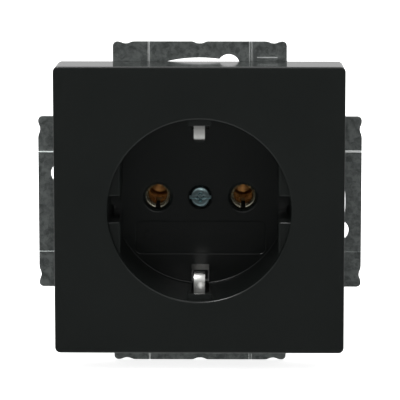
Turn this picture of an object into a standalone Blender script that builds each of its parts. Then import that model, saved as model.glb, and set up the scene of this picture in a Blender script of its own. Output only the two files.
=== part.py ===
"""Flush wall-socket insert with side earthing clips (16 A, 19 mm pin pitch): a square centre plate with a
round well, on a sheet-steel support ring, with its base, contacts, terminals and spreading claws behind.

Frame: metres. Origin at the centre of the support ring's back face, which lies on the wall.
+X right, +Y into the wall, +Z up, so the plate's front faces -Y.
"""

import math

import bmesh
import bpy
from mathutils import Matrix, Vector

MM = 0.001

# ---- driving dimensions, in millimetres -------------------------------------------------------------
GAP = 0.3                    # kept between touching pieces

PLATE = 63.0                 # centre plate, square
PLATE_FRONT = -12.5          # Y of the plate's front face
PLATE_WALL = 2.0             # front wall
SKIRT_WALL = 1.6             # side walls
SKIRT_REAR = -1.3            # Y where the side walls end, just off the ring
SKIRT_TAPER = 0.4            # the side walls draw in by this much on each side towards the rear
PLATE_CORNER = 1.5

WELL_R = 20.05               # well radius at the mouth
WELL_FLOOR_R = 19.4          # and at the floor: a little draft
CUP_R = 21.7                 # outside of the well's wall
FLOOR = 5.3                  # Y of the well's floor, 17.8 behind the plate's front
FLOOR_WALL = 1.8
KEY_X = 17.15                # flat inner face of the two side guides
KEY_RECESS = 0.6             # guides start this far behind the plate's front
KEY_NOTCH = 2.85             # half width of the notch in each guide

PIN_PITCH = 19.0
PIN_HOLE_R = 2.65
PIN_FUNNEL_R = 3.5

SLOT_HALF = 1.95             # earth clip slots
SLOT_IN = 15.2
SLOT_OUT = 22.7
SLOT_FRONT = -10.1

RING = 71.0                  # support ring across opposite tabs
RING_T = 1.0
TAB_HALF = 19.0
DIP_AT, DIP = 16.2, 0.45      # shallow dips in each tab's outer edge
RING_BODY = 28.5             # half width of the ring between its tabs
TAB_FILLET = 3.0
RING_HOLE_R = 22.4
KEYHOLE_R = 30.0             # device-box screws stand 60 mm apart
KEYHOLE_HALF = 2.0
KEYHOLE_FROM, KEYHOLE_TO = -13.5, 11.5
KEYHOLE_BIG_R = 2.45
KEYHOLE_BIG_AT = (11.75, 30.95)

BASE_HALF = 20.3
BASE_CORNER = 4.0
BASE_FRONT = 9.0
BASE_REAR = 28.0
BASE_WALL = 1.5
POST = 17.5                  # rivet posts, X and Z
COVER_REAR = 30.0            # Y of the rear cover's outer face

STRAP_FRONT, STRAP_REAR = 7.9, 8.7
CLIP_ROOT_Y, CLIP_ROOT_R = 12.6, 18.0
CLIP_T = 0.6
CLIP_HALF = 1.25

LEAF_R_IN, LEAF_R_OUT = 2.35, 2.95
LEAF_FRONT, LEAF_REAR = 7.9, 19.2

TERM_X = 12.5                # middle of the line and neutral terminals
TERM_Z = 11.2                # conductor holes
BAR_Z0, BAR_Z1 = 13.0, 13.9
PEG_Y, PEG_Z = 20.0, 6.0     # pivot of the clamping springs

CLAW_X, CLAW_Y = 21.3, 11.6  # fulcrum of each claw
CLAW_SCREW_X = 25.2


# ---- modelling helpers ------------------------------------------------------------------------------
def clear_scene():
    for obj in list(bpy.data.objects):
        bpy.data.objects.remove(obj, do_unlink=True)


def add_mesh(bm, name="shape"):
    bmesh.ops.recalc_face_normals(bm, faces=bm.faces)
    if bm.calc_volume(signed=True) < 0:
        bmesh.ops.reverse_faces(bm, faces=bm.faces)
    for v in bm.verts:
        v.co *= MM
    mesh = bpy.data.meshes.new(name)
    bm.to_mesh(mesh)
    bm.free()
    obj = bpy.data.objects.new(name, mesh)
    bpy.context.scene.collection.objects.link(obj)
    return obj


def box(x0, x1, y0, y1, z0, z1):
    bm = bmesh.new()
    bmesh.ops.create_cube(bm, size=1.0)
    for v in bm.verts:
        v.co = Vector((x0 + (v.co.x + 0.5) * (x1 - x0), y0 + (v.co.y + 0.5) * (y1 - y0), z0 + (v.co.z + 0.5) * (z1 - z0)))
    return add_mesh(bm)


def prism(outline, y0, y1, bevel=0.0, segments=2):
    """An outline of (x, z) points carried from y0 to y1. bevel rounds the edges of the y0 end."""
    bm = bmesh.new()
    face = bm.faces.new([bm.verts.new((x, y0, z)) for x, z in outline])
    grown = bmesh.ops.extrude_face_region(bm, geom=[face])
    bmesh.ops.translate(bm, vec=(0, y1 - y0, 0), verts=[v for v in grown["geom"] if isinstance(v, bmesh.types.BMVert)])
    if bevel:
        front = [e for e in bm.edges if all(abs(v.co.y - y0) < 1e-6 for v in e.verts)]
        bmesh.ops.bevel(bm, geom=front, offset=bevel, segments=segments, profile=0.5, affect="EDGES")
    return add_mesh(bm)


def slab(outline, x0, x1):
    """An outline of (y, z) points carried from x0 to x1."""
    bm = bmesh.new()
    face = bm.faces.new([bm.verts.new((x0, y, z)) for y, z in outline])
    grown = bmesh.ops.extrude_face_region(bm, geom=[face])
    bmesh.ops.translate(bm, vec=(x1 - x0, 0, 0), verts=[v for v in grown["geom"] if isinstance(v, bmesh.types.BMVert)])
    return add_mesh(bm)


def plan(outline, z0, z1):
    """An outline of (x, y) points carried from z0 to z1."""
    bm = bmesh.new()
    face = bm.faces.new([bm.verts.new((x, y, z0)) for x, y in outline])
    grown = bmesh.ops.extrude_face_region(bm, geom=[face])
    bmesh.ops.translate(bm, vec=(0, 0, z1 - z0), verts=[v for v in grown["geom"] if isinstance(v, bmesh.types.BMVert)])
    return add_mesh(bm)


def turned(profile, x=0.0, z=0.0, steps=32, start=0.0, sweep=360.0):
    """A closed profile of (radius, y) points spun about the Y line through (x, z)."""
    bm = bmesh.new()
    a = math.radians(start)
    loop = [bm.verts.new((x + r * math.cos(a), y, z + r * math.sin(a))) for r, y in profile]
    edges = [bm.edges.new((loop[i], loop[(i + 1) % len(loop)])) for i in range(len(loop))]
    full = sweep >= 360.0
    bmesh.ops.spin(bm, geom=loop + edges, cent=(x, 0, z), axis=(0, -1, 0), angle=math.radians(sweep), steps=steps,
                   use_merge=full, use_duplicate=False)
    if not full:
        bm.verts.ensure_lookup_table()
        ends = [e for e in bm.edges if e.is_boundary]
        bmesh.ops.contextual_create(bm, geom=[e for e in ends if _on_ray(e, x, z, a)])
        bmesh.ops.contextual_create(bm, geom=[e for e in ends if e.is_valid and not _on_ray(e, x, z, a)])
    bmesh.ops.remove_doubles(bm, verts=bm.verts, dist=1e-5)
    bmesh.ops.dissolve_degenerate(bm, edges=bm.edges, dist=1e-6)
    return add_mesh(bm)


def _on_ray(edge, x, z, a):
    return all(abs((v.co.x - x) * math.sin(a) - (v.co.z - z) * math.cos(a)) < 1e-4
               and (v.co.x - x) * math.cos(a) + (v.co.z - z) * math.sin(a) > 0 for v in edge.verts)


def rod(x, z, r, y0, y1, steps=24):
    """A plain round bar along Y."""
    bm = bmesh.new()
    ring = [bm.verts.new((x + r * math.cos(2 * math.pi * i / steps), y0, z + r * math.sin(2 * math.pi * i / steps))) for i in range(steps)]
    face = bm.faces.new(ring)
    grown = bmesh.ops.extrude_face_region(bm, geom=[face])
    bmesh.ops.translate(bm, vec=(0, y1 - y0, 0), verts=[v for v in grown["geom"] if isinstance(v, bmesh.types.BMVert)])
    return add_mesh(bm)


def solid_turned(profile, x=0.0, z=0.0, steps=32):
    """A stepped round solid along Y from (radius, y) points, front to back, closed with flat ends."""
    bm = bmesh.new()
    rings = []
    for r, y in profile:
        rings.append([bm.verts.new((x + r * math.cos(2 * math.pi * i / steps), y, z + r * math.sin(2 * math.pi * i / steps))) for i in range(steps)])
    for lower, upper in zip(rings, rings[1:]):
        for i in range(steps):
            j = (i + 1) % steps
            bm.faces.new((lower[i], lower[j], upper[j], upper[i]))
    bm.faces.new(rings[0])
    bm.faces.new(rings[-1])
    return add_mesh(bm)


def combine(obj, others, how):
    """Boolean each of others into obj and drop them."""
    for other in others:
        mod = obj.modifiers.new("shape", "BOOLEAN")
        mod.operation = how
        mod.solver = "EXACT"
        mod.object = other
        depsgraph = bpy.context.evaluated_depsgraph_get()
        mesh = bpy.data.meshes.new_from_object(obj.evaluated_get(depsgraph))
        obj.modifiers.remove(mod)
        old = obj.data
        obj.data = mesh
        bpy.data.meshes.remove(old)
        bpy.data.objects.remove(other, do_unlink=True)
    return obj


def cut(obj, *others):
    return combine(obj, others, "DIFFERENCE")


def join(obj, *others):
    return combine(obj, others, "UNION")


def common(obj, *others):
    return combine(obj, others, "INTERSECT")


def arc(cx, cz, r, a0, a1, steps):
    return [(cx + r * math.cos(math.radians(a0 + (a1 - a0) * i / steps)), cz + r * math.sin(math.radians(a0 + (a1 - a0) * i / steps)))
            for i in range(steps + 1)]


def rounded_square(half, radius, steps=5, half_z=None):
    hz = half if half_z is None else half_z
    c, cz = half - radius, hz - radius
    return (arc(c, cz, radius, 0, 90, steps) + arc(-c, cz, radius, 90, 180, steps)
            + arc(-c, -cz, radius, 180, 270, steps) + arc(c, -cz, radius, 270, 360, steps))


def smooth(points, each):
    """A Catmull-Rom curve through points, each span cut in 'each' steps."""
    out = []
    last = len(points) - 1
    for i in range(last):
        p0, p1, p2, p3 = (Vector(points[k]) for k in (max(i - 1, 0), i, i + 1, min(i + 2, last)))
        for s in range(each):
            t = s / each
            out.append(0.5 * ((2 * p1) + (p2 - p0) * t + (2 * p0 - 5 * p1 + 4 * p2 - p3) * t * t + (3 * p1 - p0 - 3 * p2 + p3) * t ** 3))
    out.append(Vector(points[last]))
    return out


def strip(points, thickness):
    """The outline of a strip of even thickness laid along a line of points."""
    left, right = [], []
    for i, p in enumerate(points):
        a, b = points[max(i - 1, 0)], points[min(i + 1, len(points) - 1)]
        t = (b - a).normalized()
        n = Vector((-t.y, t.x)) * (thickness / 2)
        left.append(tuple(p + n))
        right.append(tuple(p - n))
    return left + right[::-1]


# ---- placing and colouring --------------------------------------------------------------------------
MATERIALS = {
    "black_plastic": ((0.012, 0.014, 0.013), 0.42, 0.0),
    "galvanised_steel": ((0.30, 0.32, 0.31), 0.45, 1.0),
    "zinc_screw": ((0.42, 0.50, 0.52), 0.32, 1.0),
    "nickel_clip": ((0.66, 0.65, 0.61), 0.28, 1.0),
    "rivet_metal": ((0.55, 0.56, 0.55), 0.35, 1.0),
    "strap_metal": ((0.42, 0.42, 0.40), 0.40, 1.0),
    "contact_brass": ((0.62, 0.40, 0.20), 0.30, 1.0),
    "base_plastic": ((0.50, 0.51, 0.50), 0.55, 0.0),
    "lever_plastic": ((0.75, 0.74, 0.70), 0.50, 0.0),
    "spring_steel": ((0.55, 0.56, 0.57), 0.30, 1.0),
}


def material(name):
    mat = bpy.data.materials.get(name)
    if mat is None:
        colour, roughness, metallic = MATERIALS[name]
        mat = bpy.data.materials.new(name)
        mat.use_nodes = True
        shader = mat.node_tree.nodes["Principled BSDF"]
        shader.inputs["Base Color"].default_value = (*colour, 1.0)
        shader.inputs["Roughness"].default_value = roughness
        shader.inputs["Metallic"].default_value = metallic
    return mat


BODIES = {}


def body(name, at=(0.0, 0.0, 0.0)):
    """An empty that stands at a moving body's joint, in millimetres."""
    if name not in BODIES:
        empty = bpy.data.objects.new(name + "_frame", None)
        empty.empty_display_size = 0.005
        empty.location = Vector(at) * MM
        bpy.context.scene.collection.objects.link(empty)
        BODIES[name] = empty
    return BODIES[name]


def place(obj, name, slot, parent, at=(0.0, 0.0, 0.0), smooth_angle=35.0):
    """Name a finished shape, put its origin at 'at' and hang it on its body."""
    at = Vector(at) * MM
    mesh = obj.data
    mesh.transform(Matrix.Translation(-at))
    obj.name = name
    mesh.name = name
    mesh.materials.clear()
    mesh.materials.append(material(slot))
    mesh.shade_smooth()
    mesh.set_sharp_from_angle(angle=math.radians(smooth_angle))
    home = body(*parent)
    obj.parent = home
    obj.location = at - home.location
    return obj


ROOT = ("root",)
COVER = ("cover",)


# ---- the cover: plate, skirt and well in one moulding -------------------------------------------------
def make_cover():
    half = PLATE / 2
    cover = prism(rounded_square(half, PLATE_CORNER, 4), PLATE_FRONT, SKIRT_REAR, bevel=0.5)
    for v in cover.data.vertices:
        if v.co.y > (SKIRT_REAR - 0.01) * MM:
            v.co.x *= 1.0 - SKIRT_TAPER / half
            v.co.z *= 1.0 - SKIRT_TAPER / half
    inner = half - SKIRT_WALL
    cut(cover, prism(rounded_square(inner, 1.0, 2), PLATE_FRONT + PLATE_WALL, 0.0))
    ribs = []
    for s in (-1, 1):
        for x in (-12.0, 12.0):
            lo, hi = sorted((s * 17.5, s * (inner + 0.5)))
            ribs.append(box(x - 0.5, x + 0.5, PLATE_FRONT + 1.0, -5.0, lo, hi))
            ribs.append(box(lo, hi, PLATE_FRONT + 1.0, -5.0, x - 0.5, x + 0.5))
    join(cover, *ribs)
    join(cover, rod(0, 0, CUP_R, PLATE_FRONT + 1.0, FLOOR + FLOOR_WALL, 64))
    mouth = PLATE_FRONT - 0.5
    well = solid_turned([(WELL_R + 0.85, mouth), (WELL_R, PLATE_FRONT + 0.35), (WELL_FLOOR_R, FLOOR)], steps=64)
    ends = solid_turned([(WELL_R + 0.85, mouth), (WELL_R, PLATE_FRONT + 0.35), (WELL_FLOOR_R, FLOOR)], steps=64)
    keyed = common(well, box(-KEY_X, KEY_X, mouth - 1, FLOOR + 1, -30, 30))
    notched = common(ends, box(-30, 30, mouth - 1, FLOOR + 1, -KEY_NOTCH, KEY_NOTCH))
    rim = solid_turned([(WELL_R + 0.85, mouth), (WELL_R, PLATE_FRONT + 0.35), (WELL_R - 0.01, PLATE_FRONT + KEY_RECESS)], steps=64)
    cut(cover, keyed, notched, rim)
    for s in (-1, 1):
        lo, hi = sorted((s * SLOT_IN, s * SLOT_OUT))
        cut(cover, box(-SLOT_HALF, SLOT_HALF, SLOT_FRONT, FLOOR + FLOOR_WALL + 1, lo, hi))
        cut(cover, solid_turned([(PIN_FUNNEL_R + 0.4, FLOOR - 0.5), (PIN_HOLE_R, FLOOR + 0.9), (PIN_HOLE_R, FLOOR + FLOOR_WALL + 1)],
                                x=s * PIN_PITCH / 2, steps=28))
    cut(cover, solid_turned([(2.75, FLOOR - 0.5), (2.75, FLOOR + 1.0)], steps=28))
    cut(cover, rod(0, 0, 1.75, FLOOR, FLOOR + FLOOR_WALL + 1, 20))
    place(cover, "cover_plate", "black_plastic", COVER)


def screw(x, z, head_y, head_r, head_h, shank_r, end_y, name, parent, slot="zinc_screw"):
    """A pan-head screw along Y with a combined slot and cross recess; head_y is its crown."""
    under = head_y + head_h
    body_ = solid_turned([(head_r * 0.45, head_y), (head_r * 0.80, head_y + 0.16), (head_r, head_y + 0.55), (head_r, under),
                          (shank_r, under + 0.01), (shank_r, end_y - 0.8), (shank_r * 0.6, end_y)], x=x, z=z, steps=24)
    cut(body_, box(x - head_r - 1, x + head_r + 1, head_y - 1, head_y + 0.55, z - 0.35, z + 0.35))
    cut(body_, box(x - 1.25, x + 1.25, head_y - 1, head_y + 1.0, z - 0.35, z + 0.35))
    cut(body_, box(x - 0.35, x + 0.35, head_y - 1, head_y + 1.0, z - 1.25, z + 1.25))
    place(body_, name, slot, parent, at=(x, under, z))


# ---- the support ring ---------------------------------------------------------------------------------
def tab_end(notched):
    """(along, depth) points of half a tab's outer edge, from its middle to the side of the tab."""
    pts = [(0.0, 0.42), (0.7, 0.36), (1.2, 0.14), (1.7, 0.0)] if notched else [(0.0, 0.0)]
    pts += [(DIP_AT - 1.9, 0.0), (DIP_AT - 1.3, DIP * 0.2), (DIP_AT - 0.6, DIP * 0.8), (DIP_AT, DIP),
            (DIP_AT + 0.6, DIP * 0.8), (DIP_AT + 1.2, DIP * 0.28), (DIP_AT + 1.75, 0.03)]
    pts += [(TAB_HALF - 0.45, 0.14), (TAB_HALF - 0.12, 0.42), (TAB_HALF, 0.9)]
    return pts


def make_ring():
    outline = []
    for turn in range(4):
        # each corner of the ring, clockwise from the middle of one tab to the middle of the next
        c, s = round(math.cos(-turn * math.pi / 2)), round(math.sin(-turn * math.pi / 2))
        side = [(u, RING / 2 - d) for u, d in tab_end(turn in (0, 2))]
        side += arc(TAB_HALF + TAB_FILLET, RING_BODY + TAB_FILLET, TAB_FILLET, 180, 270, 5)
        r = RING_BODY - TAB_HALF - TAB_FILLET
        side += arc(RING_BODY - r, RING_BODY - r, r, 90, 0, 6)[1:-1]
        side += [(z, x) for x, z in arc(TAB_HALF + TAB_FILLET, RING_BODY + TAB_FILLET, TAB_FILLET, 180, 270, 5)][::-1]
        side += [(RING / 2 - d, u) for u, d in tab_end(turn in (1, 3))][:0:-1]
        outline += [(c * x - s * z, s * x + c * z) for x, z in side]
    ring = prism(outline, -RING_T, 0.0)
    cut(ring, rod(0, 0, RING_HOLE_R, -2, 1, 56))
    for turn in range(4):
        a = -turn * 90.0
        lo, hi = 90 - KEYHOLE_TO + a, 90 - KEYHOLE_FROM + a
        slot = (arc(0, 0, KEYHOLE_R + KEYHOLE_HALF, lo, hi, 8)
                + arc(KEYHOLE_R * math.cos(math.radians(hi)), KEYHOLE_R * math.sin(math.radians(hi)), KEYHOLE_HALF, hi, hi + 180, 8)[1:-1]
                + arc(0, 0, KEYHOLE_R - KEYHOLE_HALF, hi, lo, 8)
                + arc(KEYHOLE_R * math.cos(math.radians(lo)), KEYHOLE_R * math.sin(math.radians(lo)), KEYHOLE_HALF, lo + 180, lo + 360, 8)[1:-1])
        big = math.radians(90 - KEYHOLE_BIG_AT[0] + a)
        cut(ring, prism(slot, -2, 1))
        cut(ring, rod(KEYHOLE_BIG_AT[1] * math.cos(big), KEYHOLE_BIG_AT[1] * math.sin(big), KEYHOLE_BIG_R, -2, 1, 24))
    for s in (-1, 1):
        cut(ring, rod(s * CLAW_SCREW_X, 0, 1.85, -2, 1, 20))
        for t in (-1, 1):
            cut(ring, rod(s * POST, t * POST, 1.5, -2, 1, 16))
    place(ring, "mounting_ring", "galvanised_steel", ROOT)


def rivet(x, z, crown, inward, end, name, parent=ROOT):
    """A dome-headed rivet; crown is its head's top, inward +1 when it runs to +Y."""
    base = crown + inward * 0.65
    pts = [(0.9, crown), (1.7, crown + inward * 0.2), (2.2, base - inward * 0.12), (2.2, base), (1.2, base + inward * 0.01), (1.2, end)]
    obj = solid_turned(pts if inward > 0 else pts[::-1], x=x, z=z, steps=16)
    place(obj, name, "rivet_metal", parent, at=(x, base, z))


# ---- the base and its rear cover ----------------------------------------------------------------------
def make_base():
    base = prism(rounded_square(BASE_HALF, BASE_CORNER, 5), BASE_FRONT, BASE_REAR)
    wide, post = BASE_HALF - BASE_WALL, 14.8
    front = BASE_FRONT + 1.6
    room = box(-wide, wide, front, BASE_REAR + 1, -post, post)
    join(room, box(-post, post, front, BASE_REAR + 1, -wide, wide))
    cut(base, room)
    # pillars up to the ring, with blind rivet holes; a rear rivet hole in two of the corner posts
    join(base, *[rod(s * POST, t * POST, 2.5, GAP, BASE_FRONT + 2, 20) for s in (-1, 1) for t in (-1, 1)])
    cut(base, *[rod(s * POST, t * POST, 1.5, 0, 7.6, 16) for s in (-1, 1) for t in (-1, 1)])
    cut(base, *[rod(s * POST, s * POST, 1.5, 21.4, BASE_REAR + 1, 16) for s in (-1, 1)])
    # dividing walls, pockets for the clips' feet and pegs for the clamping springs
    for s in (-1, 1):
        x0, x1 = sorted((s * 4.6, s * 5.4))
        join(base, box(x0, x1, front - 0.5, BASE_REAR - 0.6, -wide - 0.5, wide + 0.5))
        z0, z1 = sorted((s * 16.2, s * 20.0))
        join(base, box(-3.2, 3.2, front - 0.5, 14.4, z0, z1))
        z0, z1 = sorted((s * 17.3, s * 19.4))
        cut(base, box(-1.65, 1.65, BASE_FRONT - 1, 13.2, z0, z1))
        x0, x1 = sorted((s * 7.6, s * (wide + 0.5)))
        join(base, peg(x0, x1))
        cut(base, rod(s * PIN_PITCH / 2, 0, 4.0, BASE_FRONT - 1, front + 1, 28))
    join(base, peg(-5.0, 5.0))
    cut(base, rod(0, 0, 3.0, BASE_FRONT - 1, front + 1, 24))
    cut(base, box(-3.9, 3.9, BASE_FRONT - 1, front + 1, BAR_Z0 - 0.4, BAR_Z1 + 0.4))
    # ledges that guide each claw
    for s in (-1, 1):
        x0, x1 = sorted((s * (BASE_HALF - 0.5), s * (CLAW_X + 0.5)))
        join(base, box(x0, x1, 13.2, 24.0, 5.2, 6.4), box(x0, x1, 13.2, 24.0, -6.4, -5.2))
    place(base, "base_body", "base_plastic", ROOT)


def peg(x0, x1):
    return slab([(PEG_Y + 0.8 * math.cos(math.tau * i / 12), PEG_Z + 0.8 * math.sin(math.tau * i / 12)) for i in range(12)], x0, x1)


def make_rear_cover():
    y0 = BASE_REAR + GAP
    cover = prism(rounded_square(BASE_HALF, BASE_CORNER, 5), COVER_REAR, y0, bevel=0.4)
    for x in (-TERM_X - 2.3, -TERM_X + 2.3, -2.3, 2.3, TERM_X - 2.3, TERM_X + 2.3):
        cut(cover, solid_turned([(1.75, y0 - 1), (1.75, COVER_REAR - 0.6), (2.35, COVER_REAR + 0.6)], x=x, z=TERM_Z, steps=20))
    for x in (-TERM_X, 0.0, TERM_X):
        half = 2.6 if x else 2.4
        cut(cover, box(x - half, x + half, y0 - 1, COVER_REAR + 1, 5.6, 8.6))
    cut(cover, *[rod(s * POST, s * POST, 1.5, y0 - 1, COVER_REAR + 1, 16) for s in (-1, 1)])
    # a raised frame on the lower half stiffens the plate
    outer = [(x, z - 9.0) for x, z in rounded_square(13.0, 1.5, 3, 5.5)]
    inner = [(x, z - 9.0) for x, z in rounded_square(12.0, 0.8, 3, 4.5)]
    join(cover, cut(prism(outer, COVER_REAR - 0.3, COVER_REAR + 0.6), prism(inner, COVER_REAR - 1, COVER_REAR + 1)))
    place(cover, "rear_cover", "base_plastic", ROOT)


# ---- earthing: strap and two clips --------------------------------------------------------------------
def make_strap():
    strap = prism(rounded_square(3.0, 0.8, 3, 17.0), STRAP_FRONT, STRAP_REAR)
    join(strap, prism(rounded_square(5.2, 1.5, 3, 8.0), STRAP_FRONT, STRAP_REAR))
    join(strap, rod(0, 0, 2.6, STRAP_FRONT + 0.1, 11.2, 24))
    join(strap, box(-3.4, 3.4, STRAP_FRONT + 0.2, 23.0, BAR_Z0, BAR_Z1 - 0.1))
    cut(strap, rod(0, 0, 1.75, STRAP_FRONT - 1, 12, 20))
    place(strap, "earth_strap", "strap_metal", ROOT)


CLIP_LINE = [(-9.45, 19.35), (-9.15, 18.2), (-8.85, 16.7), (-8.3, 15.2), (-7.1, 14.6), (-5.6, 15.0), (-2.0, 16.1), (2.0, 17.0), (5.5, 17.65),
             (8.5, 17.95), (CLIP_ROOT_Y, CLIP_ROOT_R)]


def make_clip(sign, name, parent):
    outline = [(y, sign * r) for y, r in strip(smooth(CLIP_LINE, 3), CLIP_T)]
    clip = slab(outline, -CLIP_HALF, CLIP_HALF)
    at = (0.0, CLIP_ROOT_Y, sign * CLIP_ROOT_R)
    place(clip, name, "nickel_clip", (parent, at), at=at)


# ---- live contacts and their spring leaves --------------------------------------------------------------
def make_contact(sign, name):
    x = sign * PIN_PITCH / 2
    contact = turned([(2.6, 19.5), (3.4, 19.5), (3.4, 23.4), (2.6, 23.4)], x=x, steps=28)
    lo, hi = sorted((sign * 6.2, sign * 7.0))
    join(contact, box(lo, hi, 19.9, 23.0, -1.6, BAR_Z1))
    lo, hi = sorted((sign * 6.2, sign * 17.3))
    join(contact, box(lo, hi, 12.0, 23.0, BAR_Z0, BAR_Z1))
    place(contact, name, "contact_brass", ROOT)


def make_leaf(sign, side, name, parent):
    """Half of a split socket sleeve; side -1 is its left half, +1 its right."""
    x = sign * PIN_PITCH / 2
    profile = [(2.9, LEAF_FRONT), (3.3, LEAF_FRONT + 0.15), (LEAF_R_OUT, LEAF_FRONT + 1.4), (LEAF_R_OUT, LEAF_REAR),
               (LEAF_R_IN, LEAF_REAR), (LEAF_R_IN, LEAF_FRONT + 1.2)]
    slit = 7.5
    start = -90 + slit if side > 0 else 90 + slit
    leaf = turned(profile, x=x, steps=14, start=start, sweep=180 - 2 * slit)
    at = (x + side * 2.65, LEAF_REAR, 0.0)
    place(leaf, name, "contact_brass", (parent, at), at=at)


# ---- clamping springs and release levers -----------------------------------------------------------------
def make_spring(x, half, name, parent):
    curl_r, t = 1.35, 0.4
    line = [Vector((PEG_Y + curl_r * math.cos(math.radians(a)), PEG_Z + curl_r * math.sin(math.radians(a)))) for a in range(-110, 151, 20)]
    end = line[-1]
    tip = Vector((15.6, 12.2))
    line += [end.lerp(tip, f) for f in (0.25, 0.6, 0.92)] + [tip + Vector((0.0, 0.0))]
    spring = slab(strip(line, t), x - half, x + half)
    cut(spring, box(x - 0.25, x + 0.25, 13.0, 17.9, 7.5, 14.0))
    at = (x, PEG_Y, PEG_Z)
    place(spring, name, "spring_steel", (parent, at), at=at)


def make_lever(x, half, name, parent):
    lever = box(x - half, x + half, 23.2, 31.6, 5.9, 8.3)
    join(lever, box(x - half, x + half, 18.8, 24.0, 7.8, 9.3))
    join(lever, box(x - half - 0.7, x + half + 0.7, 26.7, 27.9, 5.0, 9.0))
    cut(lever, *[box(x - half - 1, x + half + 1, 31.2, 32.0, z, z + 0.35) for z in (6.35, 6.95, 7.55)])
    at = (x, 31.6, 7.1)
    place(lever, name, "lever_plastic", (parent, at), at=at)


# ---- claws ---------------------------------------------------------------------------------------------
def make_claw(sign, name, parent):
    inner, outer, t = 21.0, 28.8, 1.2
    y0 = CLAW_Y - t / 2
    outline = [(inner, y0), (outer - 0.6, y0), (outer, y0 + 0.6), (outer, 25.2), (outer + 0.7, 26.2), (outer + 0.7, 28.0),
               (outer - 0.5, 28.0), (outer - 0.5, 26.6), (outer - t, 25.6), (outer - t, y0 + t), (inner, y0 + t)]
    claw = plan([(sign * x, y) for x, y in outline], -4.5, 4.5)
    # slot round the screw
    lo, hi = sorted((sign * 22.8, sign * 27.55))
    cut(claw, box(lo, hi, y0 - 1, y0 + t + 0.2, -1.9, 1.9))
    # three teeth at the rear edge
    lo, hi = sorted((sign * 26.5, sign * 31.0))
    for z in (-4.5, -1.5, 1.5, 4.5):
        cut(claw, slab([(26.4, z), (28.6, z - 1.5), (28.6, z + 1.5)], lo, hi))
    at = (sign * CLAW_X, CLAW_Y, 0.0)
    place(claw, name, "galvanised_steel", (parent, at), at=at)


# ---- the whole assembly ----------------------------------------------------------------------------------
def main():
    clear_scene()
    body("root")
    make_cover()
    screw(0, 0, FLOOR - 0.45, 2.45, 1.35, 1.45, FLOOR + 8.9, "cover_screw", ("cover_screw", (0, FLOOR + 0.9, 0)))
    make_ring()
    make_base()
    make_rear_cover()
    make_strap()
    make_clip(1, "earth_clip_top", "clip_top")
    make_clip(-1, "earth_clip_bottom", "clip_bottom")
    for sign, side in ((-1, "line"), (1, "neutral")):
        make_contact(sign, side + "_contact")
        make_leaf(sign, -1, side + "_leaf_left", side + "_leaf_left")
        make_leaf(sign, 1, side + "_leaf_right", side + "_leaf_right")
        make_spring(sign * 12.4, 4.4, side + "_spring", side + "_spring")
        make_lever(sign * TERM_X, 2.3, side + "_release", side + "_release")
    make_spring(0.0, 3.8, "earth_spring", "earth_spring")
    make_lever(0.0, 2.1, "earth_release", "earth_release")
    for sign, side in ((-1, "left"), (1, "right")):
        make_claw(sign, "claw_" + side, "claw_" + side)
        screw(sign * CLAW_SCREW_X, 0, -3.0, 2.3, 1.7, 1.45, 24.0, "claw_screw_" + side, ("claw_screw_" + side, (sign * CLAW_SCREW_X, -1.3, 0)))
    for t, up in ((1, "upper"), (-1, "lower")):
        for s, lr in ((-1, "left"), (1, "right")):
            rivet(s * POST, t * POST, -1.95, 1, 7.2, f"ring_rivet_{up}_{lr}")
    rivet(POST, POST, COVER_REAR + 0.95, -1, 22.0, "rear_rivet_upper")
    rivet(-POST, -POST, COVER_REAR + 0.95, -1, 22.0, "rear_rivet_lower")


main()
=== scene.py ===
import math
import random

import bmesh
import bpy
from mathutils import Matrix, Vector


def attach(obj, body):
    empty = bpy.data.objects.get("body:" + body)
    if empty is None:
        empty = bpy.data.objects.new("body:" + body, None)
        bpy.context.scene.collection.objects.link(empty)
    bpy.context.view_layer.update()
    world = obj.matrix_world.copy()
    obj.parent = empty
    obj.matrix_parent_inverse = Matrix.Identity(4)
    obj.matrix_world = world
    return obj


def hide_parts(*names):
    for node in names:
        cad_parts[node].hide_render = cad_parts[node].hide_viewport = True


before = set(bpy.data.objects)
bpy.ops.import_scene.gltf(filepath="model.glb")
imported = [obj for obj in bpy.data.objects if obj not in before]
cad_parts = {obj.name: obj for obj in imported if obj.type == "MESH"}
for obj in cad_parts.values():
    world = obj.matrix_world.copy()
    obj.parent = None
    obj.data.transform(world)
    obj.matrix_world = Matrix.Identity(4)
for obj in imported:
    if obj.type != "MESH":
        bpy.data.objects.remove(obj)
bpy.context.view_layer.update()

MM = 0.001
random.seed(4)

# Everything below is in millimetres, in the frame of the CAD: X right, Y into the wall, Z up.
PLATE_FRONT, SKIRT_REAR = -12.5, -1.3
WELL_R, WELL_FLOOR_R, CUP_R = 20.05, 19.6, 21.7
FLOOR, FLOOR_WALL = 5.3, 1.8
KEY_X, KEY_RECESS, KEY_NOTCH = 17.15, 2.4, 2.85
PIN_PITCH, PIN_HOLE_R = 19.0, 2.65
SLOT_HALF, SLOT_IN, SLOT_OUT, SLOT_FRONT = 1.95, 15.2, 22.7, -10.1
RING, RING_T, TAB_HALF, DIP_AT, DIP = 71.0, 1.0, 19.0, 16.2, 0.45
RING_BODY, TAB_FILLET, RING_HOLE_R = 28.5, 3.0, 22.4
KEYHOLE_R, KEYHOLE_HALF, KEYHOLE_FROM, KEYHOLE_TO = 30.0, 2.0, -13.5, 11.5
KEYHOLE_BIG_R, KEYHOLE_BIG_AT = 2.45, (11.75, 30.95)
BASE_HALF, BASE_CORNER, BASE_FRONT, BASE_REAR, BASE_WALL, POST = 20.3, 4.0, 9.0, 28.0, 1.5, 17.5
COVER_REAR, GAP = 30.0, 0.3
CLIP_ROOT_Y, CLIP_ROOT_R, CLIP_T, CLIP_HALF = 12.6, 18.0, 0.6, 1.25
LEAF_FRONT, LEAF_REAR, LEAF_R_IN, LEAF_R_OUT = 7.9, 19.2, 2.35, 2.95
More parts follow.
